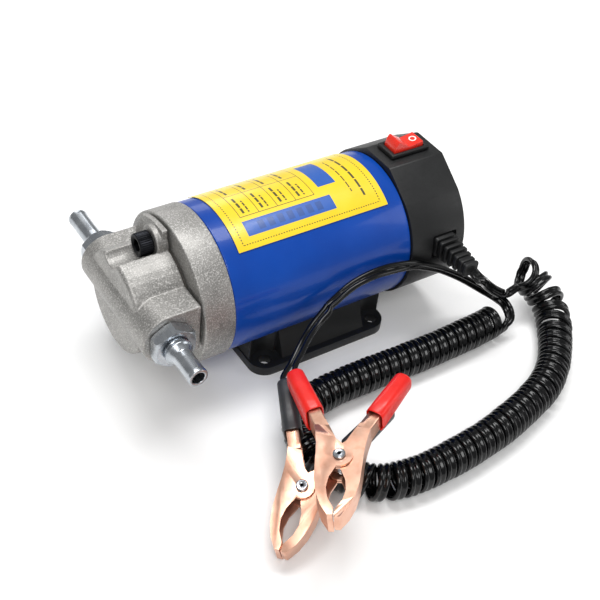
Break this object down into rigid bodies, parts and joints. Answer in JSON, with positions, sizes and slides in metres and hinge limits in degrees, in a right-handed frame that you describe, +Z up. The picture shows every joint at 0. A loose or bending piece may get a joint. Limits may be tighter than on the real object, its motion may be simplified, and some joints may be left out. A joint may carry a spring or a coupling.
{
  "type": "electric fluid transfer pump",
  "caption": "Compact electric gear pump for oil or fluid, with hose tails, a foot, a rocker switch and a curly lead ending in battery clamps.",
  "frame": {"origin": "on the surface under the foot, below the middle of the pump without its lead", "axes": "+X along the motor axis from the pump head to the rear cap, +Z up, Y along the hose tails"},
  "size_m": [0.2058, 0.1866, 0.0842],
  "materials": {
    "cast_aluminium": "sand cast, light grain",
    "gasket_paper": "pressed fibre",
    "gear_steel": "ground",
    "seal_rubber": "moulded",
    "black_steel": "black oxide",
    "zinc_steel": "bright zinc plate",
    "blue_enamel": "gloss enamel",
    "ferrite": "sintered",
    "electrical_steel": "stacked sheet",
    "copper": "enamelled wire and drawn copper",
    "bronze": "sintered or pressed",
    "phenolic": "laminate",
    "carbon": "pressed carbon",
    "black_plastic": "fine texture",
    "red_plastic": "gloss",
    "boot_rubber": "satin",
    "label_film": "gloss film",
    "copper_plate": "copper plated steel",
    "red_vinyl": "dipped vinyl",
    "black_vinyl": "dipped vinyl",
    "cord_vinyl": "gloss vinyl"
  },
  "bodies": {
    "pump": {"black_clamp_fixed_jaw": "copper_plate", "black_clamp_fixed_sleeve": "black_vinyl", "black_clamp_rivet": "zinc_steel", "black_clamp_spring": "zinc_steel", "black_wire": "cord_vinyl", "brush_far": "carbon", "brush_holder_far": "bronze", "brush_holder_near": "bronze", "brush_near": "carbon", "brush_plate": "phenolic", "brush_spring_far": "zinc_steel", "brush_spring_near": "zinc_steel", "end_bell": "cast_aluminium", "foot_base": "black_plastic", "foot_screw_1": "black_steel", "foot_screw_2": "black_steel", "front_bearing": "bronze", "housing_gasket": "gasket_paper", "housing_screw_1": "black_steel", "housing_screw_2": "black_steel", "idler_shaft": "gear_steel", "inlet_fitting": "zinc_steel", "lead_cable": "cord_vinyl", "lead_coil": "cord_vinyl", "magnet_far": "ferrite", "magnet_near": "ferrite", "motor_tube": "blue_enamel", "outlet_fitting": "zinc_steel", "pump_housing": "cast_aluminium", "rating_label": "label_film", "rear_bearing": "bronze", "rear_cap": "black_plastic", "red_clamp_fixed_jaw": "copper_plate", "red_clamp_fixed_sleeve": "red_vinyl", "red_clamp_rivet": "zinc_steel", "red_clamp_spring": "zinc_steel", "red_wire": "cord_vinyl", "shaft_seal": "seal_rubber", "strain_relief": "boot_rubber", "switch_body": "black_plastic", "switch_terminal_1": "bronze", "switch_terminal_2": "bronze", "tail_cable": "cord_vinyl", "through_bolt_1": "zinc_steel", "through_bolt_2": "zinc_steel"},
    "rotor": {"rotor_shaft": "gear_steel", "drive_gear": "gear_steel", "armature_core": "electrical_steel", "armature_winding": "copper", "commutator": "copper"},
    "idler_gear": {"driven_gear": "gear_steel"},
    "rocker": {"switch_rocker": "red_plastic"},
    "black_jaw": {"black_clamp_moving_jaw": "copper_plate", "black_clamp_moving_sleeve": "black_vinyl"},
    "red_jaw": {"red_clamp_moving_jaw": "copper_plate", "red_clamp_moving_sleeve": "red_vinyl"}
  },
  "joints": [
    {"name": "rotor_spin", "type": "hinge", "parent": "pump", "child": "rotor", "pos_m": [0, 0, 0.042], "axis": [1, 0, 0], "continuous": true},
    {"name": "idler_gear_spin", "type": "hinge", "parent": "pump", "child": "idler_gear", "pos_m": [-0.063, 0, 0.052], "axis": [1, 0, 0], "continuous": true},
    {"name": "rocker_press", "type": "hinge", "parent": "pump", "child": "rocker", "pos_m": [0.0648, 0.0012, 0.079], "axis": [0, -1, 0], "range_deg": [0, 24]},
    {"name": "black_clamp_open", "type": "hinge", "parent": "pump", "child": "black_jaw", "pos_m": [-0.0464, -0.0997, 0.0143], "axis": [-0.3038, -0.1143, 0.9458], "range_deg": [0, 26], "stiffness_Nm_per_rad": 0.5, "springref_deg": -17.19},
    {"name": "red_clamp_open", "type": "hinge", "parent": "pump", "child": "red_jaw", "pos_m": [-0.0393, -0.1095, 0.0373], "axis": [-0.1566, 0.0826, 0.9842], "range_deg": [0, 26], "stiffness_Nm_per_rad": 0.5, "springref_deg": -17.19}
  ],
  "couplings": [
    {"joint": "idler_gear_spin", "follows": "rotor_spin", "ratio": -1}
  ]
}
